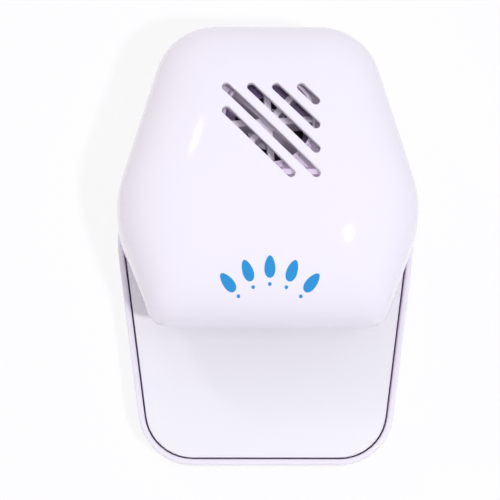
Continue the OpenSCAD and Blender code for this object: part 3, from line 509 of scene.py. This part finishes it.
def hood_shell(material, lining):
    """The hood as one closed wall. The crown is a triangulated cap with the slots cut in it; the
    skirt is a grid of columns round the plan and rows from the cap down to the lower edge. Slots
    and the edge have small rounded corners. The inside repeats both at the wall's depth."""
    # columns on the straight sides, from the nose's right corner round by the back to the lip
    spans = [34, 48, 44, 48, 34, 62]
    plan_out = outline(HOOD_V, HOOD_R, 0, 16, spans)
    plan_in = outline(HOOD_V, HOOD_R, WALL, 16, spans)
    k = len(plan_out)
    cap_out = np.full(k, math.radians(CAP_ANGLE))
    # the inside's ring lies under the outside's, so its angle follows from its smaller plan
    q = roundness(plan_out[:, 1])
    s_in = np.cos(cap_out) / (np.cos(cap_out) ** q + np.sin(cap_out) ** q) ** (1 / q)
    s_in *= round_middle(plan_out)[1] / round_middle(plan_in)[1]
    q = roundness(plan_in[:, 1])
    cap_in = np.arctan2((1 - s_in ** q) ** (1 / q), s_in)
    verts, faces, count = [], [], 0

    def add(p):
        """Adds points, and gives their numbers."""
        nonlocal count
        verts.append(p)
        count += len(p)
        return np.arange(count - len(p), count)

    def rows(plan, cap, d, steps, drop):
        """Rows from the cap to just above the edge; the edge itself is the last row."""
        b0 = edge_angle(plan, d)
        b1 = b0 + drop / EDGE_CLIMB
        t = np.linspace(0, 1, steps)
        return [hood_skin(plan, cap * (1 - v) + b1 * v, d) for v in t] + [hood_skin(plan, b0, d)]

    outer = rows(plan_out, cap_out, 0, 46, EDGE_OUT)
    inner = rows(plan_in, cap_in, WALL, 26, EDGE_IN)
    corner_o, corner_i = outer.pop(), inner.pop()
    across = unit(corner_i - corner_o)
    # rounded corners of the edge as quadratic curves through the corner
    t = np.array([0.25, 0.5, 0.75, 1.0])[:, None, None]
    end_o, end_i = corner_o + EDGE_OUT * across, corner_i - EDGE_IN * across
    bend_o = outer[-1] * (1 - t) ** 2 + 2 * t * (1 - t) * corner_o + t ** 2 * end_o
    bend_i = end_i * (1 - t) ** 2 + 2 * t * (1 - t) * corner_i + t ** 2 * inner[-1]
    chain = [*outer, *bend_o, end_i, *bend_i[:-1], *inner[::-1]]
    ids = [add(p) for p in chain]
    faces += [strip(a, b) for a, b in zip(ids[:-1], ids[1:])]
    ring_out, ring_in = ids[0], ids[-1]

    # cap: points of the ring, of the slots' edges and of a grid whose every second row is moved
    # by half a step, joined by a constrained triangulation in plan
    ends = slot_ends()
    ring = outer[0][:, :2]
    loops = [slot_loop(a, b, SLOT_W / 2 + SLOT_ROUND) for a, b in ends]
    # wide enough for the whole cap
    g = np.arange(-40, 64, GRID)
    gx, gy = np.meshgrid(g, g)
    shift = GRID / 2 * (np.round(gy.ravel() / GRID) % 2)
    grid = np.stack([gx.ravel() + shift, gy.ravel()], 1)
    grid = grid[outside(grid, ring) < -RIM_GAP]
    for a, b in ends:
        u = unit(b - a)
        along = np.clip((grid - a) @ u, 0, np.linalg.norm(b - a))
        gap = np.linalg.norm(grid - a - along[:, None] * u, axis=1)
        grid = grid[gap > SLOT_W / 2 + SLOT_ROUND + SLOT_GAP]
    flat = np.concatenate([ring, *loops, grid])
    starts = np.cumsum([0, len(ring)] + [len(loop) for loop in loops])
    edges = np.concatenate([strip(np.arange(a, b), np.arange(a, b))[:, :2]
                            for a, b in zip(starts[:-1], starts[1:])])
    # the triangulation works on a disc: each point at its share of the way out to the ring
    (turn, _), (angle, far) = round_middle(flat), round_middle(ring)
    disc = (flat - [0, HOOD_CY]) / np.interp(turn, angle, far, period=2 * np.pi)[:, None]
    slots = [list(range(a, b)) for a, b in zip(starts[1:-1], starts[2:])]
    _, _, tris, source, _, holes = geometry.delaunay_2d_cdt(
        [Vector(p) for p in disc.tolist()], edges.tolist(), slots, 0, 1e-7)
    origin = np.array([p[0] for p in source])
    tris = origin[np.array([t for t, hole in zip(tris, holes) if not hole])]
    cross = np.cross(flat[tris[:, 1]] - flat[tris[:, 0]], flat[tris[:, 2]] - flat[tris[:, 0]])
    tris = np.where(cross[:, None] > 0, tris, tris[:, ::-1])
    # the inside's slots are narrower by the rounding
    inner_flat = flat.copy()
    for first, (a, b) in zip(starts[1:-1], ends):
        loop = slot_loop(a, b, SLOT_W / 2)
        inner_flat[first:first + len(loop)] = loop

    cap_o = np.column_stack([flat, lift(flat, plan_out, 0)])
    cap_i = np.column_stack([inner_flat, lift(inner_flat, plan_in, WALL)])
    outer_ids = np.concatenate([ring_out, add(cap_o[k:])])
    inner_ids = np.concatenate([ring_in, add(cap_i[k:])])
    faces += [outer_ids[tris], inner_ids[tris][:, ::-1]]
    # slot walls: a quarter round at the top, then straight down
    for (a, b), s0, s1 in zip(ends, starts[1:-1], starts[2:]):
        previous = outer_ids[s0:s1]
        for phi in map(math.radians, (30, 60, 90)):
            loop = slot_loop(a, b, SLOT_W / 2 + SLOT_ROUND * (1 - math.sin(phi)))
            z = lift(loop, plan_out, 0) - SLOT_ROUND * (1 - math.cos(phi))
            now = add(np.column_stack([loop, z]))
            faces.append(strip(previous, now))
            previous = now
        faces.append(strip(previous, inner_ids[s0:s1]))
    shell = make("hood_shell", np.concatenate(verts), faces, "case", "shell", material, lining)
    # the strips from the inside's corner up and the inner cap are the lining, the hood's inside,
    # whose finish has violet painted shade
    first = len(outer) + len(bend_o)
    inside = [first <= i < len(ids) - 1 or i == len(ids) for i in range(len(faces))]
    shell.data.polygons.foreach_set("material_index",
                                    np.repeat(np.int32(inside), [len(f) for f in faces]))
    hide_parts("hood")
    return shell


def ink_marks(material):
    """A plain pad print on the hood's nose: five nail shapes spread like a fan, each over a dot.
    At angle a, a nail's half width is NAIL_W sin(a) (1 - NAIL_TAPER cos(a)) and its height
    NAIL_L cos(a). Each mark is a film INK mm proud of the skin, built of rings round its middle,
    the last of them sunk under the skin."""
    plan = outline(HOOD_V, HOOD_R, 0, 16, [40] * 6)
    a = np.linspace(0, 2 * np.pi, 40, endpoint=False)
    nail = np.column_stack([-NAIL_W * np.sin(a) * (1 - NAIL_TAPER * np.cos(a)),
                            NAIL_L * np.cos(a)])
    dot = np.column_stack([-DOT_R * np.sin(a), DOT_R * np.cos(a) - NAIL_L - DOT_GAP])
    loops = []
    for turn in np.radians(FAN_STEP * np.arange(-2, 3)):
        across = np.array([math.cos(turn), -math.sin(turn)])
        along = np.array([math.sin(turn), math.cos(turn)])
        middle = np.array([0.0, PRINT_Y - FAN_R]) + FAN_R * along
        loops += [middle + mark[:, :1] * across + mark[:, 1:] * along for mark in (nail, dot)]
    verts, faces, count = [], [], 0
    for loop in loops:
        c, n = loop.mean(0), len(loop)
        rings = [c + t * (loop - c) for t in (0.3, 0.6, 0.85, 1.0, 1.0)]
        depths = (-INK, -INK, -INK, -INK, INK)
        points = np.concatenate([np.column_stack([ring, lift(ring, plan, 0) - d])
                                 for ring, d in zip(rings, depths)])
        ends = np.stack([c, c])
        ends = np.column_stack([ends, lift(ends, plan, 0) + [INK, -INK]])
        ids = [count + n * i + np.arange(n) for i in range(len(rings))]
        tip = count + len(points)
        verts += [points, ends]
        faces += [strip(i, j) for i, j in zip(ids[:-1], ids[1:])]
        faces += [np.stack([np.full(n, tip), np.roll(ids[0], -1), ids[0]], 1),
                  np.stack([np.full(n, tip + 1), ids[-1], np.roll(ids[-1], -1)], 1)]
        count = tip + 2
    return make("nose_print", np.concatenate(verts), faces, "case", None, material)


# ---- pieces that take their shape from the solids ----
def face_data(me):
    """Centres in millimetres and normals of a mesh's faces."""
    centre, normal = np.empty(len(me.polygons) * 3), np.empty(len(me.polygons) * 3)
    me.polygons.foreach_get("center", centre)
    me.polygons.foreach_get("normal", normal)
    return centre.reshape(-1, 3) / MM, normal.reshape(-1, 3)


def smooth_copy(name, cad, slot, *materials, second=None):
    """A CAD solid whose loose triangles are joined, shaded smooth across its curves and crisp at
    its edges. second says, from the faces' centres and normals, which faces take the second
    material."""
    me = nodes[cad].data.copy()
    me.materials.clear()
    bm = bmesh.new()
    bm.from_mesh(me)
    bmesh.ops.remove_doubles(bm, verts=bm.verts, dist=WELD)
    bm.to_mesh(me)
    bm.free()
    me.shade_smooth()
    me.set_sharp_from_angle(angle=math.radians(CRISP_COPY))
    for m in materials:
        me.materials.append(m)
    if second:
        me.polygons.foreach_set("material_index", second(*face_data(me)).astype(np.int32))
    o = bpy.data.objects.new(name, me)
    bpy.context.scene.collection.objects.link(o)
    o.modifiers.new("even shading", "WEIGHTED_NORMAL").keep_sharp = True
    bodies = frame["record"]["behaviour"]["bodies"]
    body = next(b for b, members in bodies.items() if cad in members)
    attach(o, body)
    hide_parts(cad)
    return o


def tray_shade_faces(centre, normal):
    """Faces inside the tray's wall, from above its underside to the rim's rounding: those that
    look up, or that stand and look to the tray's middle. They take the violet painted shade."""
    ring = outline(BASE_V, BASE_R, SHADE_IN, 12, [1] * 6)
    z, up = centre[:, 2], normal[:, 2]
    out = (normal[:, :2] * unit(centre[:, :2])).sum(1)
    within = (outside(centre[:, :2], ring) < 0) & (z > SHADE_Z) & (z < RIM_Z - RIM_ROUND)
    return within & (up > -0.05) & ((out < 0.3) | (up > 0.5))


def plate_shade_faces(centre, normal):
    """Faces of the plate's underside, which take the violet painted shade."""
    return centre[:, 2] < PLATE_Z


def cell_ends(centre, normal):
    """Bare metal of a cell: what looks along it or lies past its sleeve."""
    return (np.abs(normal[:, 0]) > 0.9) | (np.abs(centre[:, 0]) > CELL_END)


# ---- the stage, and the dryer's pieces ----
camera()
studio()
F = finishes()
# the hood's inside takes the finish whose faint violet cast is painted shade
hood_shell(F["gloss_abs"], F["inner_abs_painted_shade"])
ink_marks(F["ink"])
# the tray's inside and the plate's underside take the violet painted shade
smooth_copy("tray_shell", "base_tub", "shell", F["gloss_abs"], F["deep_abs"], second=tray_shade_faces)
smooth_copy("finger_plate", "press_plate", "shell", F["satin_abs"], F["deep_abs"],
            second=plate_shade_faces)
# piece, node, slot in the record, finish
for piece, cad, slot, finish in (
        ("door_panel", "battery_door", "shell", "satin_abs"),
        ("feet", "rubber_feet", "foot_rubber", "rubber"),
        # the inner wall, louvre and inlet cover take the finish whose violet cast is painted
        # shade
        ("inner_wall", "air_panel", "inner_white", "inner_abs_painted_shade"),
        ("louvre", "outlet_grille", "inner_white", "inner_abs_painted_shade"),
        ("inlet_cover", "fan_cover", "inner_white", "inner_abs_painted_shade"),
        # the scroll's darker violet is painted shade
        ("scroll", "fan_housing", "inner_white", "scroll_painted_shade"),
        ("fan_wheel", "impeller", "fan_plastic", "fan_pp"),
        ("can", "motor_can", "motor_black", "lacquer"),
        ("magnets", "motor_magnets", "magnet", "ferrite"),
        ("armature", "motor_armature", "winding", "winding"),
        ("shaft", "motor_shaft", "steel", "steel"),
        ("bushes", "motor_bushes", "bush", "bronze"),
        ("end_cap", "motor_end_cap", "dark_plastic", "black_pbt"),
        ("motor_tabs", "motor_terminals", "contact", "contact"),
        ("strap", "motor_clamp", "zinc_steel", "zinc"),
        ("cell_springs", "battery_springs", "steel", "steel"),
        ("cell_contacts", "battery_contacts", "contact", "contact"),
        ("switch_case", "switch_body", "dark_plastic", "black_pbt"),
        ("switch_button", "switch_plunger", "switch_cap", "red_cap"),
        ("switch_tabs", "switch_terminals", "contact", "contact"),
        ("lead_red", "wire_red", "wire_red", "pvc_red"),
        ("lead_black", "wire_black", "wire_black", "pvc_black"),
        ("lead_switch", "wire_switch", "wire_red", "pvc_red"),
        ("case_screw_set", "case_screws", "zinc_steel", "zinc"),
        ("clamp_screw_set", "clamp_screws", "zinc_steel", "zinc"),
        ("cover_screw_set", "cover_screws", "zinc_steel", "zinc"),
        ):
    smooth_copy(piece, cad, slot, F[finish])
for piece, cad, sleeve in (("front_cell", "battery_a", "sleeve_front"),
                           ("rear_cell", "battery_b", "sleeve_rear")):
    smooth_copy(piece, cad, "cell_wrap", F[sleeve], F["zinc"], second=cell_ends)

# the plate's return springs stand 9.8 mm high under its front, which comes down 2 mm there
springs = smooth_copy("return_springs", "plate_springs", "steel", F["steel"])
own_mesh(springs)
